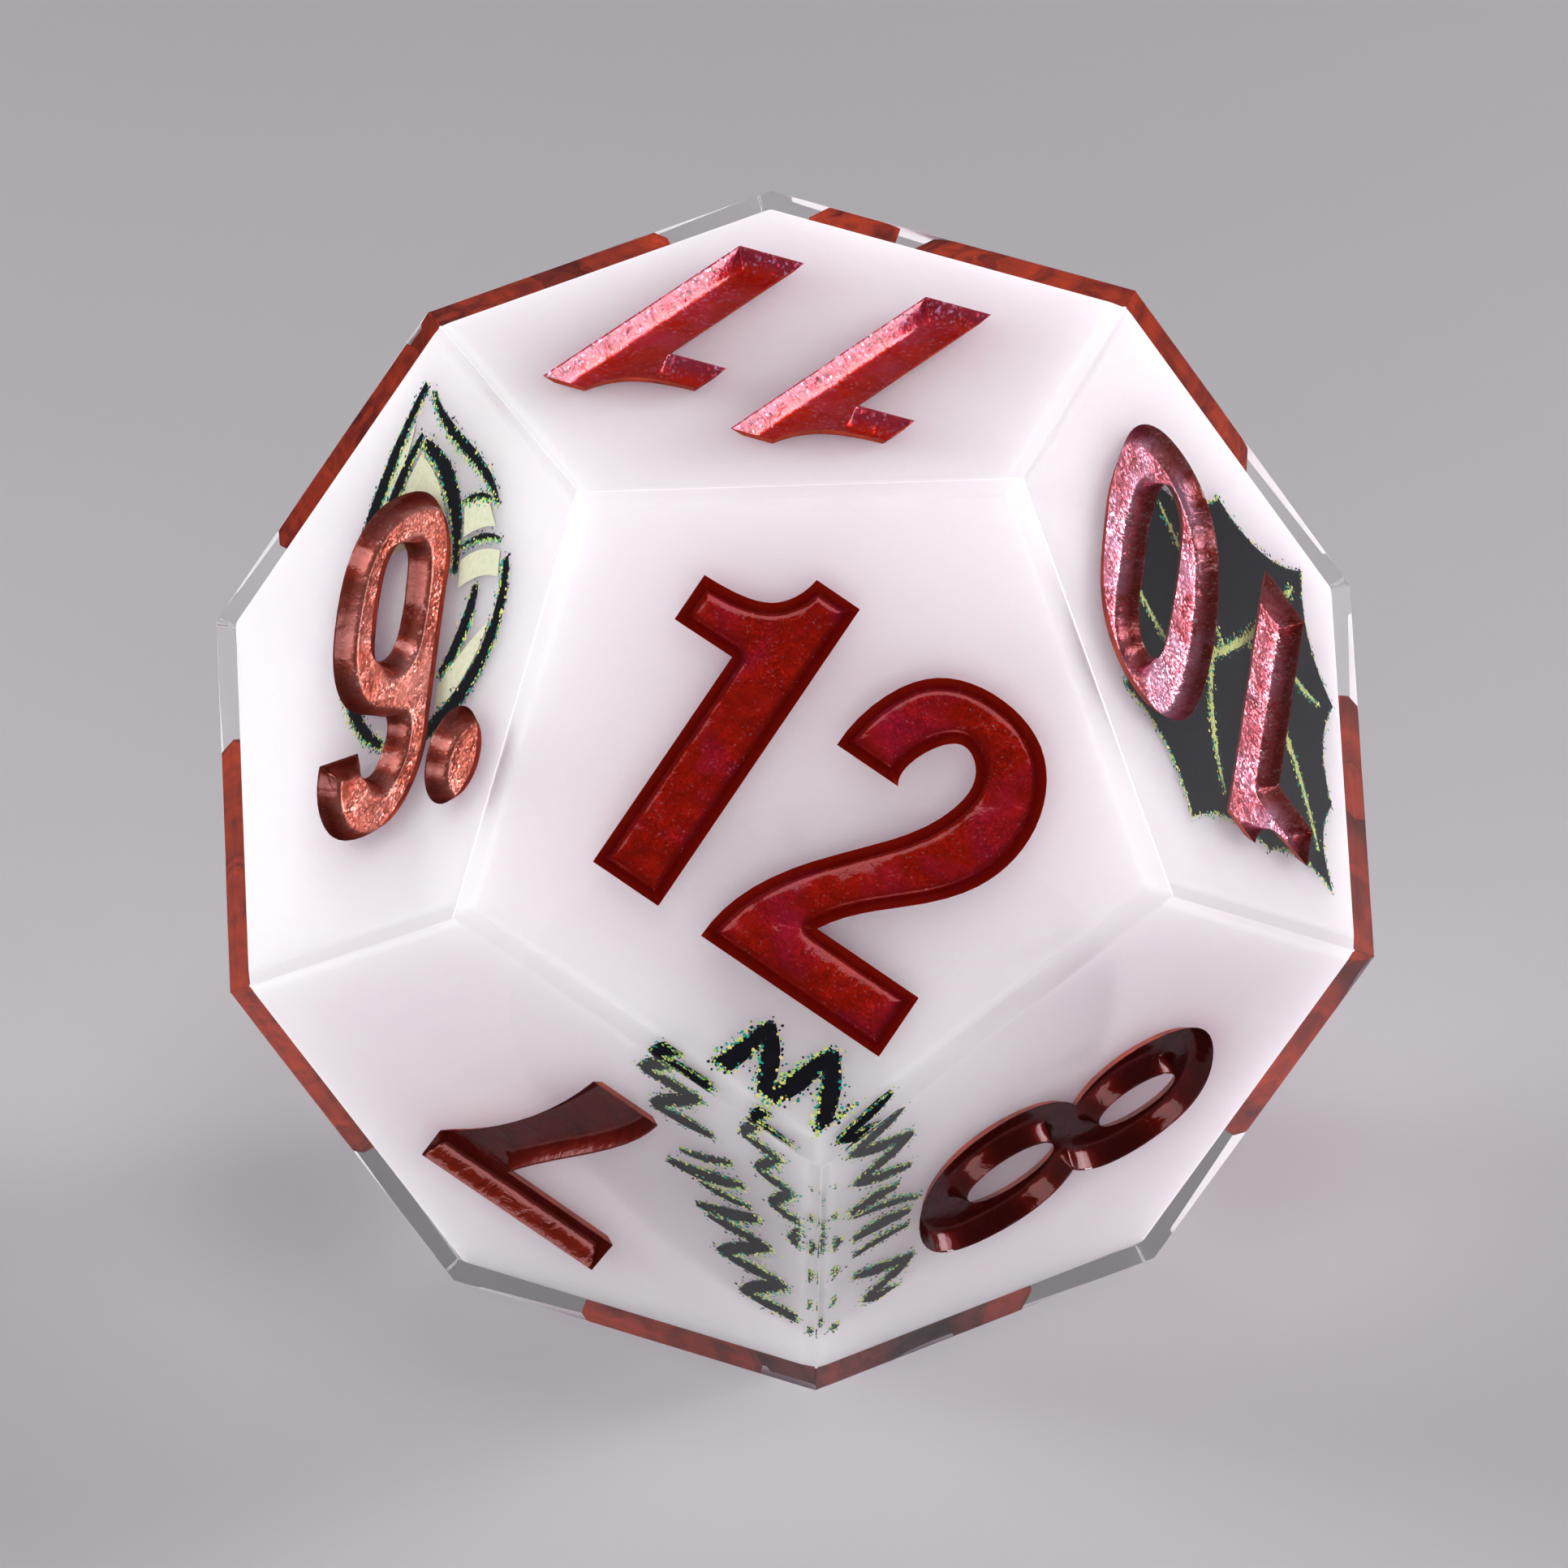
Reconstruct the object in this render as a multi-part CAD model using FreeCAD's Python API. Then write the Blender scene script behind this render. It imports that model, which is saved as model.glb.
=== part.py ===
import FreeCAD, Part
import math
import os

# Twelve-sided resin die: a milky core with printed films on some faces, sealed in a sharp-edged
# clear casting whose engraved numerals are lined with metallic paint. Millimetres, +Z up.
# Origin: centre of the face the die rests on. Front (-Y) is the face numbered 12, top is 11.
V = FreeCAD.Vector
os.makedirs("parts", exist_ok=True)

# ---- driving dimensions
across_flats = 19.0      # between opposite faces
clear_layer = 0.60       # clear resin over the core
core_round = 0.16        # rounding of the core's edges
core_shift = V(-0.03, 0.025, 0.06)   # the core sits a little off centre in its casting
pocket_depth = 0.48      # engraved numerals
pocket_draft = 0.16      # how far their walls lean in between the mouth and the floor
paint_floor = 0.06       # paint pooled on the floor of a pocket
paint_wall = 0.04        # paint left on its walls
film_thick = 0.05        # printed film on the core
film_margin = 0.13       # film edge inside the core's face edge
film_scrap = 0.003       # mm3: film caught between touching strokes that is no more than this is printed over
corner_film = 7.0        # reach of the film patches round the low front corner
dot_at = (3.32, -2.40)   # full stop after 6 and 9
dot_radius = 0.97

# ---- the twelve faces: number, outward normal, direction of the corner the number points up to
PHI = (1 + math.sqrt(5)) / 2
INRADIUS = across_flats / 2
TILT = math.atan(0.5)                # side faces above and below the horizon


def side(azimuth, up):
    """Outward normal of a side face; azimuth from +X, up +1 for the upper ring."""
    a = math.radians(azimuth)
    z = math.sin(TILT) * up
    return V(math.cos(a) * math.cos(TILT), math.sin(a) * math.cos(TILT), z)


NORMALS = {
    11: V(0, 0, 1), 12: side(-90, 1), 10: side(-18, 1), 6: side(54, 1), 5: side(126, 1),
    9: side(198, 1), 2: V(0, 0, -1), 1: side(90, -1), 3: side(162, -1), 7: side(234, -1),
    8: side(306, -1), 4: side(18, -1),
}
# each number's top points at the corner it shares with these two neighbours
UP_CORNER = {
    12: (11, 10), 11: (12, 9), 10: (12, 8), 9: (11, 5), 8: (10, 4), 7: (2, 3),
    1: (2, 3), 2: (1, 4), 3: (1, 5), 4: (2, 8), 5: (9, 3), 6: (11, 10),
}


def meet(normals, distance):
    """Corner where three faces meet, each at its own distance from the centre."""
    a, b, c = normals
    volume = a.dot(b.cross(c))
    da, db, dc = distance
    return (b.cross(c) * da + c.cross(a) * db + a.cross(b) * dc) * (1.0 / volume)


def solid_between(distance):
    """Dodecahedron whose face n lies distance(n) from the origin."""
    faces = []
    for n, normal in NORMALS.items():
        near = [m for m in NORMALS if m != n and normal.dot(NORMALS[m]) > 0.4]
        u = normal.cross(NORMALS[near[0]])
        u.normalize()
        v = normal.cross(u)
        near.sort(key=lambda m: math.atan2(NORMALS[m].dot(v), NORMALS[m].dot(u)))
        ring = []
        for i, m in enumerate(near):
            k = near[i - 1]
            three = (n, k, m)
            ring.append(meet([NORMALS[t] for t in three], [distance(t) for t in three]))
        faces.append(Part.Face(Part.makePolygon(ring + ring[:1])))
    return Part.Solid(Part.makeShell(faces))


def frame_of(n):
    """Directions right, up and out of face n as its number is read."""
    out = NORMALS[n]
    a, b = UP_CORNER[n]
    corner = out + NORMALS[a] + NORMALS[b]
    up = corner - out * corner.dot(out)
    up.normalize()
    return up.cross(out), up, out


def place(shape, n, height):
    """Move a shape drawn in the XY plane onto face n, at a height over the die's centre."""
    right, up, out = frame_of(n)
    at = out * height
    placed = shape.copy()
    placed.Placement = FreeCAD.Placement(FreeCAD.Matrix(
        right.x, up.x, out.x, at.x, right.y, up.y, out.y, at.y, right.z, up.z, out.z, at.z, 0, 0, 0, 1))
    return placed


# ---- outlines: ("L", points) straight runs, ("S", points) smooth curves through points
def outline(start, *runs):
    at = V(*start, 0)
    first = at
    edges = []
    for kind, points in runs:
        todo = [V(x, y, 0) for x, y in points]
        if kind == "S":
            curve = Part.BSplineCurve()
            curve.interpolate([at] + todo)
            edges.append(curve.toShape())
            at = todo[-1]
        else:
            for p in todo:
                edges.append(Part.makeLine(at, p))
                at = p
    if (at - first).Length > 1e-6:
        edges.append(Part.makeLine(at, first))
    return Part.Wire(edges)


def loop(*points):
    """Smooth closed curve through points."""
    curve = Part.BSplineCurve()
    curve.interpolate([V(x, y, 0) for x, y in points], PeriodicFlag=True)
    return Part.Wire([curve.toShape()])


def oval(cx, cy, half_wide, half_high, square=0.0):
    """Upright oval; square pushes its shoulders out towards a rounded rectangle."""
    k = 0.7071 + square
    j = 0.9239 + 0.35 * square
    i = 0.3827 + 0.8 * square
    near = [(1, 0), (j, i), (k, k), (i, j), (0, 1), (-i, j), (-k, k), (-j, i),
            (-1, 0), (-j, -i), (-k, -k), (-i, -j), (0, -1), (i, -j), (k, -k), (j, -i)]
    return loop(*[(cx + half_wide * x, cy + half_high * y) for x, y in near])


def face_of(outer, *holes):
    sheet = Part.Face(outer)
    for hole in holes:
        sheet = sheet.cut(Part.Face(hole))
    return sheet.Faces[0]


def inset(wire, gap):
    """The outline drawn again at a gap on its inner side (outer side for a negative gap)."""
    if gap == 0:
        return wire
    runs = [e.discretize(Number=2 if isinstance(e.Curve, Part.Line) else 31) for e in wire.OrderedEdges]
    if len(runs) > 1 and min((runs[0][-1] - p).Length for p in (runs[1][0], runs[1][-1])) > 1e-5:
        runs[0].reverse()
    for a, b in zip(runs, runs[1:]):
        if (a[-1] - b[0]).Length > 1e-5:
            b.reverse()
    area = sum(p.x * q.y - q.x * p.y for r in runs for p, q in zip(r, r[1:]))
    turn = gap if area > 0 else -gap

    def normal(p, q):
        t = q - p
        return V(-t.y, t.x, 0) * (turn / t.Length)

    if len(runs) == 1:
        ring = wire.Edges[0].discretize(Number=73)[:-1]
        moved = [ring[k] + normal(ring[k - 1], ring[(k + 1) % 72]) for k in range(0, 72, 2)]
        return loop(*[(p.x, p.y) for p in moved])
    corners = []
    for before, after in zip(runs[-1:] + runs[:-1], runs):
        m, n = normal(before[-2], before[-1]), normal(after[0], after[1])
        corners.append(after[0] + (m + n) * (gap * gap / (gap * gap + m.dot(n))))
    edges = []
    for run, a, b in zip(runs, corners, corners[1:] + corners[:1]):
        if len(run) == 2:
            edges.append(Part.makeLine(a, b))
        else:
            middle = [run[k] + normal(run[k - 1], run[k + 1]) for k in range(3, 28, 3)]
            curve = Part.BSplineCurve()
            curve.interpolate([a] + middle + [b])
            edges.append(curve.toShape())
    return Part.Wire(edges)


def between(low, high):
    """Solid with straight sides between two outlines."""
    if len(low.Edges) > 1:
        return Part.makeLoft([low, high], True, True)
    sides = Part.makeRuledSurface(low.Edges[0], high.Edges[0])
    shell = Part.makeShell([sides, Part.Face(low), Part.Face(high)])
    shell.sewShape()
    solid = Part.makeSolid(shell)
    return solid if solid.Volume > 0 else solid.reversed()


def tapered(sheet, top, top_gap, bottom, bottom_gap):
    """Solid whose outline is drawn in by top_gap at height top and by bottom_gap at height bottom."""
    outer = sheet.OuterWire
    body, islands = None, []
    for wire in sheet.Wires:
        way = 1 if wire.isSame(outer) else -1
        mouth = inset(wire, way * top_gap).translated(V(0, 0, top))
        floor = inset(wire, way * bottom_gap).translated(V(0, 0, bottom))
        if way > 0:
            body = between(mouth, floor)
        else:
            islands.append(between(mouth, floor))
    return body.cut(islands) if islands else body


def shifted(sheet, dx, dy=0.0):
    return sheet.translated(V(dx, dy, 0))


# ---- numerals, about 6.9 mm high with a 1.5 mm stroke, each centred on x = 0
ONE = face_of(outline(
    (-0.75, -3.45), ("L", [(0.75, -3.45), (0.75, 3.41), (-0.24, 3.41)]),
    ("S", [(-0.36, 2.98), (-0.62, 2.63), (-1.08, 2.40), (-2.07, 2.28)]),
    ("L", [(-2.07, 1.27), (-0.75, 1.29)])))
TWO = face_of(outline(
    (-1.97, 1.03),
    ("S", [(-1.79, 2.15), (-1.12, 3.15), (0.12, 3.51), (1.36, 3.12), (2.05, 1.90), (1.84, 0.42),
           (1.12, -0.54), (0.12, -1.49), (-0.32, -2.11)]),
    ("L", [(2.04, -2.11), (2.04, -3.46), (-2.07, -3.46)]),
    ("S", [(-1.84, -2.31), (-1.20, -1.22), (-0.16, 0.01), (0.53, 1.15), (0.50, 2.13), (0.07, 2.38),
           (-0.36, 2.08), (-0.57, 1.03)])))
THREE = face_of(outline(
    (-1.97, 1.45),
    ("S", [(-1.72, 2.55), (-1.00, 3.28), (0.08, 3.50), (1.22, 3.22), (1.88, 2.40), (1.86, 1.20),
           (1.00, 0.12)]),
    ("S", [(1.86, -0.62), (2.08, -1.75), (1.70, -2.80), (0.95, -3.36), (0.02, -3.50), (-1.10, -3.22),
           (-1.78, -2.50), (-2.02, -1.45)]),
    ("L", [(-0.58, -1.45)]),
    ("S", [(-0.42, -2.12), (0.03, -2.38), (0.48, -2.10), (0.64, -1.45), (0.48, -0.80), (-0.28, -0.52)]),
    ("L", [(-0.28, 0.72)]),
    ("S", [(0.36, 0.95), (0.55, 1.55), (0.40, 2.15), (0.03, 2.38), (-0.38, 2.12), (-0.55, 1.45)])))
FOUR = face_of(
    outline((0.22, -3.45), ("L", [(1.65, -3.45), (1.65, -1.98), (2.25, -1.98), (2.25, -0.75), (1.65, -0.75),
                                  (1.65, 3.41), (0.15, 3.41), (-2.25, -0.80), (-2.25, -1.98),
                                  (0.22, -1.98)])),
    outline((0.30, -0.75), ("L", [(-0.85, -0.75), (0.30, 1.50)])))
FIVE = face_of(outline(
    (-1.75, 3.41), ("L", [(1.72, 3.41), (1.72, 2.06), (-0.44, 2.06), (-0.46, 1.02)]),
    ("S", [(0.42, 1.28), (1.30, 0.98), (1.92, 0.10), (2.06, -1.15), (1.78, -2.50), (1.02, -3.30),
           (0.02, -3.50), (-1.08, -3.24), (-1.76, -2.55), (-2.00, -1.45)]),
    ("L", [(-0.56, -1.45)]),
    ("S", [(-0.42, -2.10), (0.02, -2.36), (0.46, -2.05), (0.60, -1.15), (0.46, -0.22), (0.06, 0.06),
           (-0.36, -0.12), (-0.52, -0.50)]),
    ("L", [(-1.75, -0.50)])))
SEVEN = face_of(outline(
    (-2.00, 3.38), ("L", [(2.00, 3.38), (2.00, 2.04)]),
    ("S", [(1.16, 0.43), (0.58, -1.37), (0.22, -3.48)]), ("L", [(-1.27, -3.48)]),
    ("S", [(-0.92, -1.75), (-0.34, -0.25), (0.46, 1.90)]), ("L", [(-2.02, 1.95)])))
EIGHT = face_of(
    outline((-0.99, 0.15),
            ("S", [(-1.72, -0.55), (-1.96, -1.65), (-1.48, -2.92), (0.12, -3.50), (1.72, -2.92),
                   (2.20, -1.65), (2.02, -0.45), (1.45, 0.15)]),
            ("S", [(1.96, 0.80), (2.10, 1.75), (1.62, 2.95), (0.17, 3.42), (-1.32, 2.95), (-1.80, 1.75),
                   (-1.62, 0.80), (-0.99, 0.15)])),
    oval(0.14, -1.36, 0.62, 1.02), oval(0.18, 1.62, 0.56, 0.90))
NINE = face_of(
    outline((-1.86, -1.70), ("L", [(-0.40, -1.70)]),
            ("S", [(-0.26, -2.14), (0.16, -2.28), (0.50, -2.00), (0.54, -1.12)]),
            ("S", [(-0.05, -0.98), (-1.06, -0.66), (-1.80, 0.20), (-2.00, 1.40), (-1.74, 2.62), (-1.02, 3.30),
                   (0.03, 3.50), (1.10, 3.30), (1.82, 2.62), (2.05, 1.40)]),
            ("L", [(2.05, -1.25)]),
            ("S", [(1.86, -2.52), (1.12, -3.30), (0.08, -3.50), (-1.00, -3.26), (-1.66, -2.62),
                   (-1.86, -1.70)])),
    oval(0.05, 1.30, 0.60, 1.20, 0.06))
SIX = NINE.rotated(V(0, 0, 0), V(0, 0, 1), 180)
ZERO = face_of(oval(0, 0, 2.05, 3.48, 0.05), oval(0.03, 0, 0.60, 2.35, 0.08))
DOT = Part.Face(Part.Wire([Part.makeCircle(dot_radius, V(*dot_at, 0))]))

NUMERALS = {
    "ink_01": (1, ONE), "ink_02": (2, TWO), "ink_03": (3, THREE), "ink_04": (4, FOUR), "ink_05": (5, FIVE),
    "ink_06": (6, SIX), "ink_06_dot": (6, DOT), "ink_07": (7, SEVEN), "ink_08": (8, EIGHT),
    "ink_09": (9, NINE), "ink_09_dot": (9, DOT),
    "ink_10_one": (10, shifted(ONE, -2.15)), "ink_10_zero": (10, shifted(ZERO, 1.98)),
    "ink_11_tens": (11, shifted(ONE, -1.72)), "ink_11_units": (11, shifted(ONE, 2.64)),
    "ink_12_one": (12, shifted(ONE, -1.91)), "ink_12_two": (12, shifted(TWO, 1.92)),
}


# ---- printed motifs, each drawn in the frame of its face's numeral
def thorny(*tips, bite=0.22):
    """Leaf with pointed tips, hollowed between them towards its middle."""
    cx = sum(x for x, y in tips) / len(tips)
    cy = sum(y for x, y in tips) / len(tips)
    runs = []
    for (x0, y0), (x1, y1) in zip(tips, tips[1:] + tips[:1]):
        mx, my = (x0 + x1) / 2, (y0 + y1) / 2
        runs.append(("S", [(mx + (cx - mx) * bite, my + (cy - my) * bite), (x1, y1)]))
    return Part.Face(outline(tips[0], *runs))


def stroke(width, *points):
    """Brush stroke along a smooth line, thick in the middle and thin at both ends."""
    line = Part.BSplineCurve()
    line.interpolate([V(x, y, 0) for x, y in points])
    left, right = [], []
    for k in range(7):
        t = line.FirstParameter + (line.LastParameter - line.FirstParameter) * k / 6
        p, d = line.value(t), line.tangent(t)[0]
        half = width / 2 * (0.22 + 0.78 * math.sin(math.pi * (0.12 + 0.80 * k / 6)))
        left.append((p.x - d.y * half, p.y + d.x * half))
        right.append((p.x + d.y * half, p.y - d.x * half))
    return Part.Face(outline(left[0], ("S", left[1:]), ("L", right[-1:]), ("S", right[-2::-1])))


def hatch(start, way, count, pitch, length, lean, width):
    """Row of loose brush marks, all leaning the same way, their lengths and angles varying a little."""
    a = math.radians(way)
    row = []
    for k in range(count):
        swing = math.sin(2.4 * k + start[0])
        x = start[0] + k * pitch * math.cos(a) - 0.14 * swing * math.sin(a)
        y = start[1] + k * pitch * math.sin(a) + 0.14 * swing * math.cos(a)
        b = math.radians(way + lean + 15 * math.sin(4.1 * k + 1))
        reach = length * (0.46 + 0.10 * swing)
        dx, dy = math.cos(b) * reach, math.sin(b) * reach
        row.append(stroke(width * (0.9 + 0.25 * math.cos(3.3 * k)),
                          (x - dx, y - dy), (x - 0.14 * dy, y + 0.14 * dx), (x + dx, y + dy)))
    return row


def zigzag(start, way, count, pitch, height, width):
    """Band of brush strokes that meet at alternating heights, drawn a little unevenly."""
    c, s = math.cos(math.radians(way)), math.sin(math.radians(way))
    tips = []
    for k in range(count + 1):
        x = (k + 0.15 * math.sin(3.1 * k)) * pitch
        y = height * (k % 2 - 0.5) * (0.88 + 0.16 * math.sin(2.3 * k + start[0]))
        tips.append((start[0] + x * c - y * s, start[1] + x * s + y * c))
    bow = 0.05 * height
    return [stroke(width, p, ((p[0] + q[0]) / 2 + bow, (p[1] + q[1]) / 2), q) for p, q in zip(tips, tips[1:])]


LEAF = thorny((-5.50, 1.75), (-3.20, 2.75), (-0.50, 4.45), (2.35, 3.50), (2.95, 0.60), (2.75, -2.20),
              (0.30, -3.95), (-2.85, -4.95), (-4.55, -2.70), (-5.00, -0.30), bite=0.10)
VEINS = [stroke(0.16, (-2.60, -4.20), (-1.10, -1.10), (0.55, 1.10), (2.05, 3.05)),
         stroke(0.15, (-1.95, -2.55), (-3.00, -2.15), (-4.10, -2.30)),
         stroke(0.17, (-1.40, -1.55), (-3.10, -0.55), (-4.75, 1.15)),
         stroke(0.15, (-0.35, -0.10), (-0.75, 1.70), (-1.45, 2.80)),
         stroke(0.15, (-0.70, -0.60), (0.70, -1.25), (2.15, -1.90)),
         stroke(0.14, (0.60, 1.15), (1.60, 1.05), (2.55, 0.70))]
BLADE = [stroke(0.46, (0.05, 5.80), (-0.95, 4.40), (-1.68, 2.60), (-1.85, 1.00), (-1.20, -0.60),
                (0.20, -1.60)),
         stroke(0.36, (0.14, 4.75), (-0.58, 3.80), (-1.05, 2.30)),
         stroke(0.42, (0.24, 4.55), (1.18, 3.85), (1.85, 2.85), (2.12, 1.55)),
         stroke(0.26, (0.35, 5.60), (1.30, 4.60), (2.55, 3.70), (3.50, 2.70)),
         stroke(0.42, (4.05, 1.50), (4.02, 0.25), (3.22, -0.90), (1.90, -1.60), (0.45, -1.85)),
         stroke(0.38, (3.02, 1.15), (2.80, 0.35), (2.05, -0.50)),
         stroke(0.15, (2.25, 2.05), (2.90, 2.12), (3.80, 1.92)),
         stroke(0.15, (2.08, 3.00), (2.60, 3.02), (3.22, 2.86))]
BANDS = [
    Part.Face(outline((2.20, 2.88), ("S", [(2.70, 2.92), (3.18, 2.76)]), ("L", [(3.52, 2.24)]),
                      ("S", [(2.90, 2.32), (2.30, 2.24)]))),
    Part.Face(outline((2.30, 1.78), ("S", [(3.00, 1.86), (3.82, 1.68)]), ("L", [(3.86, 1.16)]),
                      ("S", [(3.10, 1.30), (2.36, 1.20)]))),
    Part.Face(outline((-0.20, 5.05), ("S", [(-0.95, 3.90), (-1.38, 2.60), (-1.52, 1.20)]),
                      ("L", [(-1.02, 1.45)]), ("S", [(-1.02, 2.45), (-0.62, 3.75), (-0.20, 5.05)]))),
    Part.Face(outline((0.18, 4.35), ("S", [(-0.45, 3.50), (-0.85, 2.40)]), ("L", [(1.60, 2.50)]),
                      ("S", [(1.10, 3.50), (0.18, 4.35)]))),
    Part.Face(outline((3.75, 0.30), ("S", [(3.05, -0.72), (2.10, -1.30)]), ("L", [(2.05, -0.70)]),
                      ("S", [(2.80, -0.20), (3.75, 0.30)]))),
]
MARKS_12 = zigzag((1.30, -4.85), 3, 5, 0.64, 1.75, 0.40)
MARKS_08 = (zigzag((-4.95, -4.50), 4, 5, 0.60, 1.55, 0.38) + hatch((-1.45, -4.30), 4, 4, 0.58, 1.55, 76, 0.38)
            + zigzag((1.00, -4.15), 4, 4, 0.58, 1.45, 0.38) + zigzag((-3.40, -5.70), 1, 11, 0.55, 0.80, 0.30))
MARKS_07 = (zigzag((-5.50, 0.90), -51.5, 5, 0.60, 1.55, 0.38)
            + hatch((-3.40, -1.70), -51.5, 4, 0.58, 1.55, 80, 0.38)
            + zigzag((-1.85, -3.65), -51.5, 4, 0.58, 1.45, 0.38)
            + zigzag((-5.30, -1.95), -51.5, 9, 0.55, 0.80, 0.30))

CREAM = [band.cut(BLADE).Faces[0] for band in BANDS]
PRINTS = {
    "print_10_leaf": (10, LEAF.cut(VEINS).Faces),
    "print_10_veins": (10, VEINS),
    "print_09_lines": (9, BLADE),
    "print_09_bands": (9, CREAM),
    "print_12_marks": (12, MARKS_12),
    "print_08_marks": (8, MARKS_08),
    "print_07_marks": (7, MARKS_07),
}
# ==== the solids, built round the die's centre and then set down on the table


def face_height(n):
    """Distance of core face n from the centre of the die."""
    return INRADIUS - clear_layer + core_shift.dot(NORMALS[n])


def core_pentagon(n, margin):
    """Flat part of core face n in its numeral frame, drawn in by a margin."""
    apothem = (INRADIUS - clear_layer) / PHI - margin
    reach = apothem / math.cos(math.pi / 5)
    right, up, out = frame_of(n)
    middle = V(core_shift.dot(right), core_shift.dot(up), 0)
    turns = [math.radians(90 + 72 * k) for k in range(5)]
    ring = [middle + V(reach * math.cos(t), reach * math.sin(t), 0) for t in turns]
    return Part.Face(Part.makePolygon(ring + ring[:1]))


def low_corner(n):
    """Disc round the low front corner shared by 12, 7 and 8."""
    right, up, out = frame_of(n)
    corner = meet([NORMALS[k] for k in (12, 7, 8)], [INRADIUS] * 3)
    return Part.Face(Part.Wire([Part.makeCircle(corner_film, V(corner.dot(right), corner.dot(up), 0))]))


core = solid_between(face_height)
core = core.makeFillet(core_round, core.Edges)

nodes = {"white_core": core}
plates = []
for n in (7, 8, 9, 10, 12):
    sheet = core_pentagon(n, film_margin)
    if n in (7, 8, 12):
        sheet = sheet.common(low_corner(n)).Faces[0]
    plate = sheet.extrude(V(0, 0, film_thick))
    plates.append(place(plate, n, face_height(n)))
    film = plate
    for name, (face, sheets) in PRINTS.items():
        if face != n:
            continue
        marks = [one.extrude(V(0, 0, film_thick)) for one in sheets]
        ink = (marks[0].multiFuse(marks[1:]) if marks[1:] else marks[0]).common(plate)
        film = film.cut(ink)
        shut_in = [bit for bit in film.Solids if bit.Volume < film_scrap]
        if shut_in:
            ink = ink.multiFuse(shut_in)
            film = Part.makeCompound([bit for bit in film.Solids if bit.Volume >= film_scrap])
        nodes[name] = place(ink, n, face_height(n))
    nodes["film_%02d" % n] = place(film, n, face_height(n))

shell = solid_between(lambda n: INRADIUS)
pockets = []
lean = pocket_draft / pocket_depth
for name, (n, sheet) in NUMERALS.items():
    pocket = tapered(sheet, 0, 0, -pocket_depth, pocket_draft)
    inner_floor = pocket_depth - paint_floor
    hollow = tapered(sheet, 0, paint_wall, -inner_floor, paint_wall + lean * inner_floor)
    pockets.append(place(pocket, n, INRADIUS))
    nodes[name] = place(pocket.cut(hollow), n, INRADIUS)
nodes["clear_shell"] = shell.cut(pockets + [core] + plates)

for name, shape in nodes.items():
    shape.translate(V(0, 0, INRADIUS))
    shape.exportStep("parts/%s.step" % name)
    print(name, shape.isValid(), len(shape.Solids), round(shape.Volume, 4))
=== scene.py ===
import math
import random

import bmesh
import bpy
import numpy as np
from mathutils import Matrix, Vector, geometry, kdtree, noise


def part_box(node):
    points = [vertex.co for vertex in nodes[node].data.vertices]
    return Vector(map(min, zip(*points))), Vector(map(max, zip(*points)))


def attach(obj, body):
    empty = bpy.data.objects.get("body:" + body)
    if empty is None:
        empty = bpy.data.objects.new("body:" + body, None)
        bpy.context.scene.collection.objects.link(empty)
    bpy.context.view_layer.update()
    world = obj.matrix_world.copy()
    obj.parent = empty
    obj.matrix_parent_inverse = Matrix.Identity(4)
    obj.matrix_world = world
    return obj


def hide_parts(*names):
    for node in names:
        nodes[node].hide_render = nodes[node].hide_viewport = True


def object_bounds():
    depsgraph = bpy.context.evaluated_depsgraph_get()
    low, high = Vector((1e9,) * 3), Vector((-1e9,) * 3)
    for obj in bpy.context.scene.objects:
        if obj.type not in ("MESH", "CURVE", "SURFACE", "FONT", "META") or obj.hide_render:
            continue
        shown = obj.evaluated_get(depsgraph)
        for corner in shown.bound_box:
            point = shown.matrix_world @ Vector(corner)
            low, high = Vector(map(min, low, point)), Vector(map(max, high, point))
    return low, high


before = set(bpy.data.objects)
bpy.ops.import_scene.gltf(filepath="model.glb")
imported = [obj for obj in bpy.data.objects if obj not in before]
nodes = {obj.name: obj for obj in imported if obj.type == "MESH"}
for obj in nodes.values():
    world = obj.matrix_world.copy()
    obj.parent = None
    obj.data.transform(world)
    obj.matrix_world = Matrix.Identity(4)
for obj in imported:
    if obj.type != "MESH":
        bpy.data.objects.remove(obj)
cad_lo, cad_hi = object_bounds()

MM = 0.001                      # the frame is in metres
GRAIN = 0.001 * MM              # points closer than this are one point
EDGE_EASE = 0.032               # how far polishing breaks the casting's edges, in millimetres
PAINT_FLOOR = 0.06 * MM         # thickness of the paint on a numeral's floor
WALL_RUN = 0.20 * MM            # how far the paint's walls lean in below the mouth
FILLET = 0.085 * MM             # softness of the bend between wall and floor
SEAT = 0.008 * MM               # how far the paint sinks into the resin, so that no gap shows
PAINT_STEP = 0.08 * MM          # spacing of the points that make up the paint
WALL_DEPTHS = (0.035, 0.075, 0.115, 0.155, 0.195, 0.235, 0.28, 0.335)   # rows down the walls, mm in
SLOW_WAVE, FAST_WAVE = (0.9, 0.016), (3.1, 0.006)   # waves of the paint's floor: per mm, height in mm
EDGE_GAP = 0.02 * MM            # the floor's grid of points stays this far from the outline
ROW_GAP = 0.045 * MM            # and this far from the rows of points down the walls
CORNER, U_TURN = 0.93, -0.9     # cosines of the least and greatest turns that count as a corner
SHARP = 0.9                     # edges of the paint's resin side that bend more, in radians, stay sharp
DOT_STEP = 0.05 * MM            # spacing of the places where printing dots can lie
COLOURED_PRINTS = ("print_09_bands", "print_10_veins")

# ---------------------------------------------------------------- the die's own geometry
lo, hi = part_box("clear_shell")
CENTRE = (Vector(lo) + Vector(hi)) / 2
INRADIUS = (hi[2] - lo[2]) / 2
CORNER_REACH = 1.25 * INRADIUS  # only the die's twenty corners are further out than this


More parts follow.
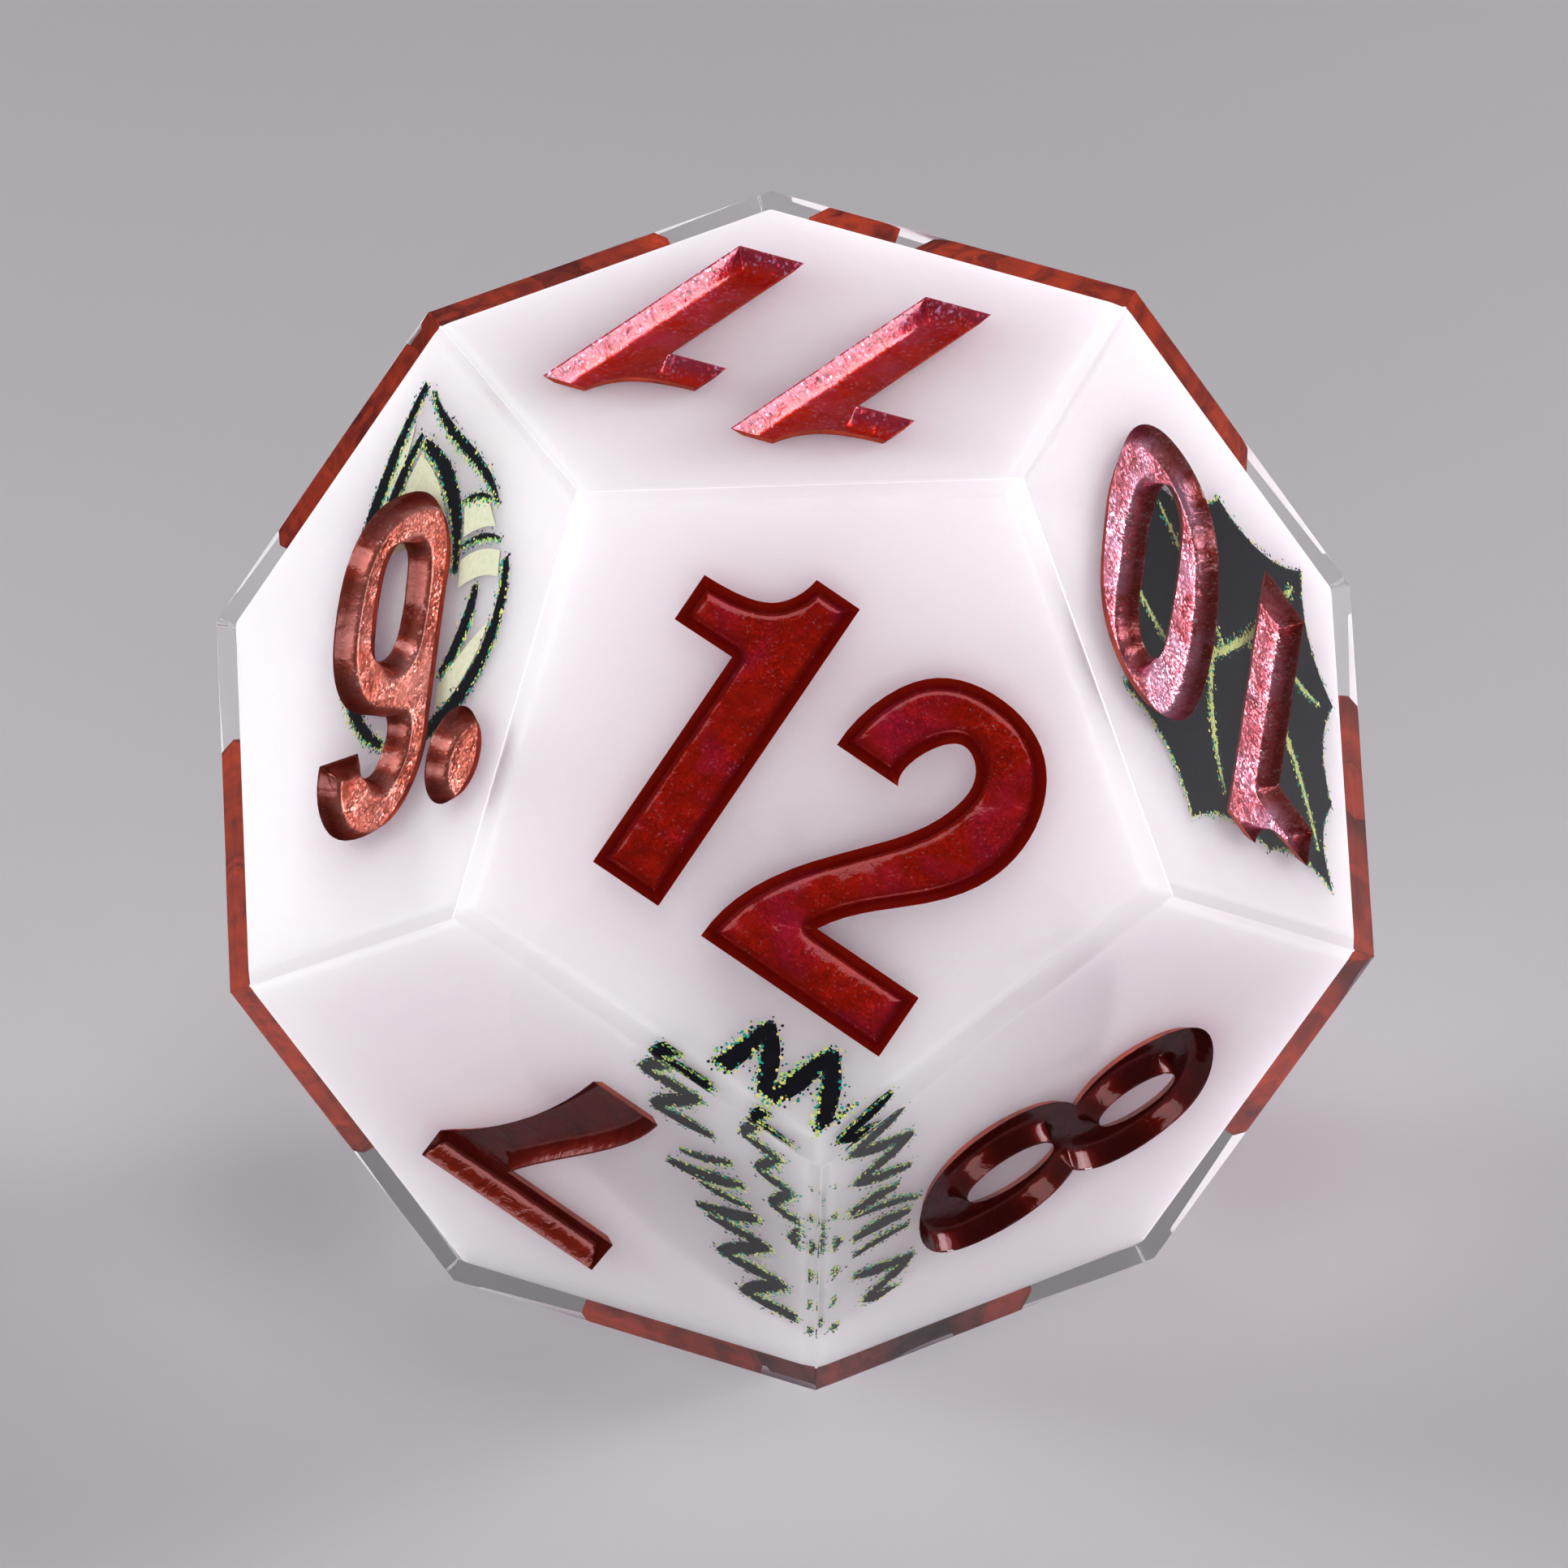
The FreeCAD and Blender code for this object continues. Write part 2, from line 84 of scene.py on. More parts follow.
def side(azimuth, up):
    """Outward normal of a leaning face; up is 1 for the upper ones and -1 for the lower ones."""
    turn, rise = math.radians(azimuth), math.atan(0.5)
    return Vector((math.cos(turn) * math.cos(rise), math.sin(turn) * math.cos(rise), up * math.sin(rise)))


NORMALS = [Vector((0, 0, 1)), Vector((0, 0, -1))]
NORMALS += [side(-90 + 72 * k, 1) for k in range(5)] + [side(90 + 72 * k, -1) for k in range(5)]


def across(out):
    """Two directions in the face whose outward normal is out."""
    u = out.cross(Vector((0.3, 0.9, 0.2))).normalized()
    return u, out.cross(u)


def plane_of(obj):
    """The outward normal of the face a numeral or print belongs to, and two directions in it."""
    mesh = obj.data
    middle = sum((v.co for v in mesh.vertices), Vector()) / len(mesh.vertices)
    out = max(NORMALS, key=lambda n: n.dot(middle - CENTRE))
    return (out, *across(out))


def outlines_of(obj):
    """Outlines of a flat node's highest level as closed rings of 2D points, and that level."""
    out, u, v = plane_of(obj)
    rel = [p.co - CENTRE for p in obj.data.vertices]
    height = [r.dot(out) for r in rel]
    level = max(height)
    place = [(round(r.dot(u) / GRAIN), round(r.dot(v) / GRAIN)) for r in rel]
    uses = {}
    for poly in obj.data.polygons:
        ids = list(poly.vertices)
        if all(abs(height[i] - level) < 2 * GRAIN for i in ids):
            for a, b in zip(ids, ids[1:] + ids[:1]):
                piece = frozenset((place[a], place[b]))
                if len(piece) == 2:
                    uses[piece] = uses.get(piece, 0) + 1
    links = {}
    for piece, count in uses.items():
        if count == 1:
            a, b = tuple(piece)
            links.setdefault(a, []).append(b)
            links.setdefault(b, []).append(a)
    rings, left = [], set(links)
    while left:
        ring = [min(left)]
        while ring[-1] in left:
            left.discard(ring[-1])
            ring += [p for p in links[ring[-1]] if p in left][:1]
        if len(ring) > 2:
            rings.append(np.array(ring, float) * GRAIN)
    return rings, level


def resample(ring, step):
    """The ring with its long sides divided so that no piece is longer than step."""
    points = []
    for a, b in zip(ring, np.roll(ring, -1, 0)):
        n = max(1, math.ceil(np.linalg.norm(b - a) / step))
        points += [a + (b - a) * i / n for i in range(n)]
    return np.array(points)


def area(ring):
    """Signed area: positive for a ring that runs anticlockwise."""
    x, y = ring[:, 0], ring[:, 1]
    return 0.5 * float(np.sum(x * np.roll(y, -1) - np.roll(x, -1) * y))


def left_of(ways):
    """Unit vectors to the left of the directions given."""
    length = np.maximum(np.linalg.norm(ways, axis=1), 1e-12)
    return np.stack([-ways[:, 1], ways[:, 0]], 1) / length[:, None]


def inward(ring):
    """Unit normals at the points of a ring, pointing in where it runs anticlockwise."""
    return left_of(np.roll(ring, -1, 0) - np.roll(ring, 1, 0))


def pieces(rings):
    """All straight pieces of the outlines, as their start and end points."""
    return np.concatenate(rings), np.concatenate([np.roll(r, -1, 0) for r in rings])


def gap_to(points, a, b):
    """Distance from each point to the nearest piece a-b, and whether it lies inside the outlines."""
    d = b - a
    x, y = points[:, None, 0], points[:, None, 1]
    t = np.clip(((x - a[:, 0]) * d[:, 0] + (y - a[:, 1]) * d[:, 1]) / (d ** 2).sum(1), 0, 1)
    best = np.sqrt((a[:, 0] + t * d[:, 0] - x) ** 2 + (a[:, 1] + t * d[:, 1] - y) ** 2).min(1)
    slope = np.where(np.abs(d[:, 1]) < 1e-12, 1e-12, d[:, 1])
    cross = ((a[:, 1] > y) != (b[:, 1] > y)) & (x < a[:, 0] + (y - a[:, 1]) * d[:, 0] / slope)
    return best, cross.sum(1) % 2 == 1


def filled(points, lines, a, b):
    """Points and triangles of the flat area bounded by the outlines a-b, which lines repeats by index."""
    cut = geometry.delaunay_2d_cdt(points, lines, [], 2, 1e-6)
    got = np.array([tuple(p) for p in cut[0]])
    middles = np.array([got[list(f)].mean(0) for f in cut[2]])
    return got, [tuple(f) for f, ok in zip(cut[2], gap_to(middles, a, b)[1]) if ok]


def new_object(name, verts, faces, materials):
    mesh = bpy.data.meshes.new(name)
    mesh.from_pydata([tuple(v) for v in verts], [], faces)
    mesh.update()
    for m in materials:
        mesh.materials.append(m)
    obj = bpy.data.objects.new(name, mesh)
    bpy.context.scene.collection.objects.link(obj)
    return obj


# ---------------------------------------------------------------- materials
def tree(name):
    mat = bpy.data.materials.new(name)
    mat.use_nodes = True
    nt = mat.node_tree
    nt.nodes.clear()
    return mat, nt


def add(nt, kind, inputs=None, **props):
    """A new shader node; an input that is a socket is linked, and any other is set."""
    node = nt.nodes.new(kind)
    for key, value in props.items():
        setattr(node, key, value)
    for key, value in (inputs or {}).items():
        if isinstance(value, bpy.types.NodeSocket):
            nt.links.new(value, node.inputs[key])
        else:
            node.inputs[key].default_value = value
    return node


def noise_at(nt, scale, detail=3.0, rough=0.55, coords=None, distortion=0.0):
    """Noise in object space; scale counts features per millimetre."""
    coords = coords or add(nt, "ShaderNodeTexCoord").outputs["Object"]
    node = add(nt, "ShaderNodeTexNoise", {"Vector": coords, "Scale": scale / MM, "Detail": detail,
                                          "Roughness": rough, "Distortion": distortion})
    return node.outputs["Fac"]


def cells_at(nt, coords, scale, randomness):
    """Voronoi cells in object space; scale counts cells per millimetre."""
    return add(nt, "ShaderNodeTexVoronoi", {"Vector": coords, "Scale": scale / MM, "Randomness": randomness})


def ramp(nt, value, stops):
    node = add(nt, "ShaderNodeValToRGB", {"Fac": value})
    for el, (pos, col) in zip(node.color_ramp.elements, stops):
        el.position = pos
        el.color = (*col, 1)
    return node.outputs["Color"]


def mapped(nt, value, from_lo, from_hi, to_lo, to_hi):
    return add(nt, "ShaderNodeMapRange", {"Value": value, "From Min": from_lo, "From Max": from_hi,
                                          "To Min": to_lo, "To Max": to_hi}).outputs["Result"]


def calc(nt, operation, a, b):
    return add(nt, "ShaderNodeMath", {0: a, 1: b}, operation=operation).outputs[0]


def blend(nt, factor, a, b, **props):
    """Colour between a, a socket, and b, a plain colour."""
    node = add(nt, "ShaderNodeMix", {"Factor": factor, "A": a, "B": (*b, 1)}, data_type="RGBA", **props)
    return node.outputs["Result"]


def bumped(nt, height, strength, distance):
    """Normal of a surface roughened by height; distance is in millimetres."""
    return add(nt, "ShaderNodeBump", {"Height": height, "Strength": strength,
                                      "Distance": distance * MM}).outputs[0]


def matt(nt, colour, rough, **inputs):
    """Surface without a mirror layer of its own, for what lies under clear resin."""
    return add(nt, "ShaderNodeBsdfPrincipled", {"Base Color": colour, "Roughness": rough,
                                                "Specular IOR Level": 0.0, **inputs}).outputs[0]


def finish_with(nt, shader):
    add(nt, "ShaderNodeOutputMaterial", {"Surface": shader})


def finish_mixed(nt, factor, first, second):
    finish_with(nt, add(nt, "ShaderNodeMixShader", {0: factor, 1: first, 2: second}).outputs[0])


def clear_resin():
    """Polished resin with a faint haze and hairline scratches; light passes it without hard shadows."""
    mat, nt = tree("clear_resin_polished")
    haze = mapped(nt, noise_at(nt, 0.6, 4), 0.35, 0.75, 0.0, 0.018)
    scratch = mapped(nt, noise_at(nt, 7.0, 2, distortion=2.5), 0.66, 0.74, 0.0, 0.03)
    glass = add(nt, "ShaderNodeBsdfPrincipled", {
        "Base Color": (0.985, 0.975, 0.985, 1), "Roughness": calc(nt, "ADD", haze, scratch),
        "IOR": 1.5, "Transmission Weight": 1.0})
    clear = add(nt, "ShaderNodeBsdfTransparent", {"Color": (0.97, 0.96, 0.97, 1)})
    path = add(nt, "ShaderNodeLightPath")
    finish_mixed(nt, path.outputs["Is Shadow Ray"], glass.outputs[0], clear.outputs[0])
    return mat


def milky_resin():
    """Clouded white resin that light sinks into."""
    mat, nt = tree("milky_resin")
    colour = ramp(nt, noise_at(nt, 0.16, 3, 0.5), [(0.30, (0.88, 0.835, 0.88)), (0.70, (0.935, 0.895, 0.93))])
    normal = bumped(nt, noise_at(nt, 3.0, 3, 0.6), 0.05, 0.02)
    finish_with(nt, matt(nt, colour, 0.6, **{
        "Subsurface Weight": 1.0, "Subsurface Radius": (1.0, 0.85, 0.95), "Subsurface Scale": 4.2 * MM,
        "Normal": normal}))
    return mat


def clear_film():
    """Carrier film that hardly shows under the resin."""
    mat, nt = tree("clear_film")
    shade = ramp(nt, noise_at(nt, 2.0, 4), [(0.3, (0.85, 0.84, 0.88)), (0.7, (0.97, 0.97, 0.95))])
    clear = add(nt, "ShaderNodeBsdfTransparent", {"Color": (1, 1, 1, 1)})
    finish_mixed(nt, 0.006, clear.outputs[0], matt(nt, shade, 0.3))
    return mat


def print_ink(name, dark, light, speck):
    """Printed ink: halftone grain between two tones with scattered specks of a third."""
    mat, nt = tree(name)
    grain = noise_at(nt, 9.0, 4, 0.7)
    body = ramp(nt, grain, [(0.35, dark), (0.70, light)])
    dots = cells_at(nt, add(nt, "ShaderNodeTexCoord").outputs["Object"], 11.0, 0.8)
    dot = mapped(nt, dots.outputs["Distance"], 0.13, 0.18, 1.0, 0.0)
    some = mapped(nt, noise_at(nt, 1.6, 2), 0.56, 0.62, 0.0, 1.0)
    mixed = blend(nt, calc(nt, "MULTIPLY", dot, some), body, speck)
    finish_with(nt, matt(nt, mixed, 0.35, Normal=bumped(nt, grain, 0.2, 0.01)))
    return mat


def metallic_paint(name, deep, bright, pearl, pearl_amount, glitter, metal, wall,
                   coat=0.5, rough=0.34, ripple=0.25, wall_glitter=0.15, flake=26.0):
    """Mica paint: a dark binder streaked with bright pigment, patches of pearl tint that are also painted
    magenta sheen, a few flakes of pale mica painted bright as painted glints and tilted to catch the light,
    and a sheer glossy skin over soft wrinkles. On the walls its colour turns to the wall colour, painted
    shade of the pockets' walls (painted light on the brick paint, whose walls are lighter), and it shows the
    flat colour of its first coat where it's seen through the resin."""
    mat, nt = tree(name)
    coords = add(nt, "ShaderNodeTexCoord").outputs["Object"]
    flakes = cells_at(nt, coords, flake, 1.0)
    streak = noise_at(nt, 1.5, 5, 0.62, coords, 1.6)
    patch = noise_at(nt, 0.75, 3, 0.5, coords, 0.8)
    wrinkle = noise_at(nt, 2.6, 4, 0.55, coords, 0.7)

    tone = ramp(nt, streak, [(0.34, deep), (0.70, bright)])
    # pearl tint in noise patches: pearl pigment, and painted magenta sheen as well
    tint = blend(nt, mapped(nt, patch, 0.46, 0.68, 0.0, pearl_amount), tone, pearl)
    # towards the wall colour on the walls: painted shade of the pockets' walls, and painted light on the
    # brick paint's lighter walls
    on_wall = add(nt, "ShaderNodeAttribute", attribute_name="wall").outputs["Fac"]
    ragged = calc(nt, "MULTIPLY", on_wall, mapped(nt, streak, 0.3, 0.7, 0.75, 1.1))
    painted_wall_shading = blend(nt, ragged, tint, wall, clamp_factor=True)

    # flakes painted pale and bright: pale mica flakes, and painted glints as well; wall_glitter sets how many
    # lie on the walls
    chance = add(nt, "ShaderNodeSeparateColor", {"Color": flakes.outputs["Color"]}).outputs["Red"]
    cluster = mapped(nt, noise_at(nt, 1.1, 3, 0.6, coords), 0.40, 0.65, 0.2, 1.0)
    glint_density = calc(nt, "MULTIPLY", cluster, mapped(nt, on_wall, 0.0, 0.6, 1.0, wall_glitter))
    painted_glint = calc(nt, "MULTIPLY", mapped(nt, chance, 1.0 - 0.35 * glitter, 1.0, 0.0, glitter), glint_density)
    colour = blend(nt, painted_glint, painted_wall_shading, [min(1.0, 0.35 + 1.1 * c) for c in pearl])

    tilt = add(nt, "ShaderNodeVectorMath", {0: flakes.outputs["Color"], 1: (0.5, 0.5, 0.5)},
               operation="SUBTRACT")
    small = add(nt, "ShaderNodeVectorMath", {
        0: tilt.outputs[0], "Scale": mapped(nt, glint_density, 0.0, 1.0, 0.0, 0.9 * glitter)}, operation="SCALE")
    waves = bumped(nt, wrinkle, ripple, 0.06)
    lean = add(nt, "ShaderNodeVectorMath", {0: waves, 1: small.outputs[0]}, operation="ADD")
    normal = add(nt, "ShaderNodeVectorMath", {0: lean.outputs[0]}, operation="NORMALIZE")
    paint = add(nt, "ShaderNodeBsdfPrincipled", {
        "Base Color": colour, "Metallic": metal, "Roughness": rough, "Normal": normal.outputs[0],
        "Specular IOR Level": 0.10, "Specular Tint": (*pearl, 1),
        "Coat Weight": coat, "Coat Roughness": 0.05, "Coat IOR": 1.5, "Coat Normal": waves})

    first_coat = ramp(nt, noise_at(nt, 1.2, 4, 0.65, coords, 1.0),
                      [(0.34, (0.13, 0.007, 0.004)), (0.66, (0.48, 0.048, 0.010))])
    behind = add(nt, "ShaderNodeAttribute", attribute_name="resin_side").outputs["Fac"]
    finish_mixed(nt, behind, paint.outputs[0], matt(nt, first_coat, 0.5))
    return mat


RESIN = clear_resin()
CORE = milky_resin()
FILM = clear_film()
BLACK = print_ink("print_black", (0.001, 0.001, 0.003), (0.003, 0.003, 0.009), (0.01, 0.06, 0.05))
CREAM = print_ink("print_cream", (0.66, 0.69, 0.46), (0.78, 0.80, 0.62), (0.45, 0.55, 0.20))
LIME = print_ink("print_lime", (0.50, 0.58, 0.16), (0.66, 0.72, 0.34), (0.80, 0.78, 0.20))
# One mica paint in six copies, one per visible face. Each copy's colours, glitter and wall colour are set to
# how light falls on its face: painted light and painted shade. Lit copies go on 11, 10 and 09, and 10's
# bright coral is painted highlight. Shaded copies go on 12, 08 and 07.
PAINTS = {
    "12": metallic_paint(
        "paint_brick_shaded", deep=(0.17, 0.0035, 0.0006), bright=(0.25, 0.0055, 0.0010), pearl=(0.27, 0.006, 0.065),
        pearl_amount=0.24, glitter=0.16, metal=0.45, wall=(0.37, 0.0125, 0.0030), coat=0.28, ripple=0.12),
    # wall_glitter here spreads painted glints over the walls, a painted highlight
    "11": metallic_paint(
        "paint_red", deep=(0.70, 0.018, 0.003), bright=(0.92, 0.036, 0.005), pearl=(0.94, 0.24, 0.55),
        pearl_amount=0.16, glitter=0.45, metal=0.50, wall=(0.34, 0.030, 0.060), ripple=0.35,
        wall_glitter=2.0, flake=18.0),
    "10": metallic_paint(
        "paint_coral_highlit", deep=(0.34, 0.034, 0.032), bright=(0.82, 0.25, 0.31), pearl=(0.95, 0.60, 0.84),
        pearl_amount=0.50, glitter=0.72, metal=0.85, wall=(0.18, 0.015, 0.008), rough=0.30, ripple=0.50,
        wall_glitter=0.2, flake=22.0),
    "09": metallic_paint(
        "paint_copper_lit", deep=(0.32, 0.052, 0.032), bright=(0.52, 0.145, 0.105), pearl=(0.66, 0.30, 0.27),
        pearl_amount=0.35, glitter=0.45, metal=0.75, wall=(0.15, 0.017, 0.008), flake=20.0),
    "08": metallic_paint(
        "paint_maroon_shaded", deep=(0.050, 0.002, 0.0008), bright=(0.095, 0.005, 0.002), pearl=(0.14, 0.008, 0.02),
        pearl_amount=0.30, glitter=0.10, metal=0.6, wall=(0.060, 0.0025, 0.0008), coat=0.3, ripple=0.15),
    "07": metallic_paint(
        "paint_brown_shaded", deep=(0.075, 0.004, 0.0015), bright=(0.14, 0.009, 0.003), pearl=(0.25, 0.03, 0.04),
        pearl_amount=0.25, glitter=0.12, metal=0.6, wall=(0.11, 0.008, 0.003), coat=0.4, ripple=0.2),
}
UNSEEN_PAINTS = (PAINTS["12"], PAINTS["09"])    # the shaded brick copy and the lit copper copy, taken in turn on the faces the photograph doesn't show


def dress(obj, mat):
    for slot in obj.material_slots:
        slot.material = mat


dress(nodes["white_core"], CORE)
for name, obj in nodes.items():
    if name.startswith("film_"):
        dress(obj, FILM)
    elif name.startswith("print_"):
        dress(obj, {"print_09_bands": CREAM, "print_10_veins": LIME}.get(name, BLACK))


# ---------------------------------------------------------------- clear casting
def outer_skin(cad):
    """Vertices and faces of the CAD casting's outside, and which flat face of the die each face is in."""
    start = max(cad.verts, key=lambda v: (v.co - CENTRE).length)
    outside, todo = {start}, [start]
    while todo:
        for e in todo.pop().link_edges:
            for w in e.verts:
                if w not in outside:
                    outside.add(w)
                    todo.append(w)
    skin = [f for f in cad.faces if f.verts[0] in outside]
    flat = {}
    for f in skin:
        for n, out in enumerate(NORMALS):
            if all(abs((v.co - CENTRE).dot(out) - INRADIUS) < 3 * GRAIN for v in f.verts):
                flat[f] = n
    return outside, skin, flat


def eased_body(corners):
    """The dodecahedron of those corners with its edges broken, in millimetres about the centre."""
    body = bmesh.new()
    for v in corners:
        body.verts.new((v.co - CENTRE) / MM)
    bmesh.ops.convex_hull(body, input=body.verts[:])
    bmesh.ops.dissolve_limit(body, angle_limit=0.02, verts=body.verts[:], edges=body.edges[:])
    bmesh.ops.bevel(body, geom=body.edges[:], offset=EDGE_EASE, offset_type="OFFSET", segments=2,
                    profile=0.5, affect="EDGES")
    body.normal_update()
    return body


def face_with_holes(n, border, mouths):
    """Triangles of flat face n, from its eased border to the mouths of its engraved numerals."""
    out = NORMALS[n]
    u, v = across(out)
    places, lines = {}, []

    def at(p):
        key = (round(p.dot(u), 5), round(p.dot(v), 5))
        return places.setdefault(key, len(places))

    for p, q in list(zip(border, border[1:] + border[:1])) + mouths:
        lines.append((at(p), at(q)))
    points = np.array(list(places))
    a, b = points[[i for i, _ in lines]], points[[j for _, j in lines]]
    got, triangles = filled([Vector(p) for p in points], lines, a, b)
    spots = [CENTRE + (u * x + v * y) * MM + out * INRADIUS for x, y in got]
    return [[spots[i] for i in tri] for tri in triangles]


def clear_casting():
    """The casting's outside: flat faces, engraved pockets and edges just broken by polishing."""
    cad = bmesh.new()
    cad.from_mesh(nodes["clear_shell"].data)
    bmesh.ops.remove_doubles(cad, verts=cad.verts, dist=1e-7)
    outside, skin, flat = outer_skin(cad)
    body = eased_body([v for v in cad.verts if v in outside and (v.co - CENTRE).length > CORNER_REACH])
    mains = sorted(body.faces, key=lambda f: -f.calc_area())[:len(NORMALS)]
    made = [[CENTRE + v.co * MM for v in f.verts] for f in body.faces if f not in mains]
    made += [[v.co for v in f.verts] for f in skin if f not in flat]
    for f in mains:
        n = max(range(len(NORMALS)), key=lambda k: NORMALS[k].dot(f.normal))
        mouths = [[(w.co - CENTRE) / MM for w in e.verts] for g, k in flat.items() if k == n
                  for e in g.edges if any(h not in flat for h in e.link_faces)]
        made += face_with_holes(n, [w.co for w in f.verts], mouths)
    bm = bmesh.new()
    for points in made:
        bm.faces.new([bm.verts.new(p) for p in points])
    bmesh.ops.remove_doubles(bm, verts=bm.verts[:], dist=2e-8)
    bmesh.ops.recalc_face_normals(bm, faces=bm.faces[:])
    mesh = bpy.data.meshes.new("clear_casting")
    bm.to_mesh(mesh)
    for m in (cad, body, bm):
        m.free()
    mesh.materials.append(RESIN)
    obj = bpy.data.objects.new("clear_casting", mesh)
    bpy.context.scene.collection.objects.link(obj)
    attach(obj, "root")
    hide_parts("clear_shell")


clear_casting()


# ---------------------------------------------------------------- paint in the numerals
def mouth_of(node):
    """Outline of an engraved numeral at the face: its outer ring, then the rings of its counters."""
    rings, top = outlines_of(node)
    rings.sort(key=lambda r: -abs(area(r)))
    rest = rings[2:]
    counters = [r for r in rest if not any(gap_to(q[:1], *pieces([r]))[1][0] for q in rest if q is not r)]
    return [rings[0]] + counters, top


def corner_points(ring, d):
    """Points at depth d off the ring's corners: on an inner one's bisector, fanned round an outer one."""
    m, n = left_of(ring - np.roll(ring, 1, 0)), left_of(np.roll(ring, -1, 0) - ring)
    flat = (m * n).sum(1)
    left = m[:, 0] * n[:, 1] - m[:, 1] * n[:, 0] > 0
    inner, outer = (flat < CORNER) & (flat > U_TURN) & left, (flat < CORNER) & ~left
    made = [ring[inner] + (m + n)[inner] / (1 + flat[inner])[:, None] * d]
    for t in (0.0, 0.25, 0.5, 0.75, 1.0):
        way = m[outer] * (1 - t) + n[outer] * t
        made.append(ring[outer] + way / np.linalg.norm(way, axis=1)[:, None] * d)
    return made


def points_inside(rings, sides):
    """Where the paint has points: rows along the walls at set depths, then a staggered grid between."""
    rows = []
    for depth in WALL_DEPTHS:
        d = depth * MM
        for r in rings:
            p = np.concatenate([r + inward(r) * d] + corner_points(r, d))
            gap, inside = gap_to(p, *sides)
            rows.append(p[inside & (gap > d * 0.97)])
    rows = np.concatenate(rows)
    near = kdtree.KDTree(len(rows))
    for i, p in enumerate(rows):
        near.insert((p[0], p[1], 0), i)
    near.balance()
    (x0, y0), (x1, y1) = rings[0].min(0), rings[0].max(0)
    gx, gy = np.meshgrid(np.arange(x0, x1, PAINT_STEP), np.arange(y0, y1, PAINT_STEP))
    gx = gx + (np.arange(gx.shape[0]) % 2)[:, None] * PAINT_STEP / 2
    grid = np.stack([gx.ravel(), gy.ravel()], 1)
    gap, inside = gap_to(grid, *sides)
    grid = grid[inside & (gap > EDGE_GAP)]
    free = [p for p in grid if near.find((p[0], p[1], 0))[2] > ROW_GAP]
    return np.concatenate([rows, np.array(free).reshape(-1, 2)])


def paint_heights(flat, gap, top, base, seed):
    """Height of the paint at each point: from the mouth down the wall and on to a slightly wavy floor."""
    fall = (top - base) * (1 - gap / WALL_RUN)
    height = base + 0.5 * (fall + np.sqrt(fall ** 2 + FILLET ** 2)) - FILLET ** 2 / 8 / (top - base)
    away = np.clip(gap / WALL_RUN, 0, 1)
    (slow, tall), (fast, low) = SLOW_WAVE, FAST_WAVE
    for i, (x, y) in enumerate(flat / MM):
        wave = tall * noise.noise(Vector((x * slow + seed, y * slow, seed * 3.7)))
        wave += low * noise.noise(Vector((x * fast, y * fast + seed, seed * 1.9)))
        height[i] += wave * MM * away[i]
    return np.minimum(height, top)


def give_values(obj, name, values):
    """A number at each vertex of the object, for its material to read."""
    obj.data.attributes.new(name, "FLOAT", "POINT").data.foreach_set("value", list(values))


def paint_fill(name, mat, seed):
    """Paint lining one engraved numeral: leaning walls, a soft fillet, a slightly uneven floor, and the
    side that touches the resin."""
    node = nodes[name]
    out, u, v = plane_of(node)
    mouth, top = mouth_of(node)
    base = min((p.co - CENTRE).dot(out) for p in node.data.vertices) + PAINT_FLOOR
    rings = [resample(r, PAINT_STEP) for r in mouth]
    rings = [r if (area(r) > 0) == (i == 0) else r[::-1] for i, r in enumerate(rings)]
    sides = pieces(rings)
    grown = [r - inward(r) * SEAT for r in rings]
    lines, first = [], 0
    for r in grown:
        lines += [(first + i, first + (i + 1) % len(r)) for i in range(len(r))]
        first += len(r)
    points = np.concatenate(grown + [points_inside(rings, sides)])
    border = pieces(grown)
    flat, faces = filled([Vector(p) for p in points / MM], lines, border[0] / MM, border[1] / MM)
    flat = flat * MM
    gap = gap_to(flat, *sides)[0]
    height = paint_heights(flat, gap, top, base, seed)
    height[gap_to(flat, *border)[0] < 1e-8] = top + GRAIN
    verts = [CENTRE + u * p[0] + v * p[1] + out * h for p, h in zip(flat, height)]
    wall = list(np.clip(1.6 - 1.6 * gap / WALL_RUN, 0, 1))

    under = [p for p in node.data.polygons if p.normal.dot(out) < -0.05]
    push = {}
    for p in under:
        for i in p.vertices:
            push[i] = push.get(i, Vector()) + p.normal * p.area
    start = len(verts)
    place = {i: start + j for j, i in enumerate(push)}
    verts += [node.data.vertices[i].co + d.normalized() * SEAT for i, d in push.items()]
    faces += [tuple(place[i] for i in p.vertices) for p in under]

    obj = new_object("paint_" + name[4:], verts, faces, [mat])
    give_values(obj, "resin_side", [0.0] * start + [1.0] * len(push))
    give_values(obj, "wall", wall + [0.0] * len(push))
    bm = bmesh.new()
    bm.from_mesh(obj.data)
    for f in bm.faces:
        f.smooth = True
    for e in bm.edges:
        if len(e.link_faces) == 2 and e.calc_face_angle(0) > SHARP and e.verts[0].index >= start:
            e.smooth = False
    bm.to_mesh(obj.data)
    bm.free()
    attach(obj, "root")
    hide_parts(name)


for i, name in enumerate(sorted(n for n in nodes if n.startswith("ink_"))):
    paint_fill(name, PAINTS.get(name[4:6], UNSEEN_PAINTS[i % 2]), 5 + 7 * i)


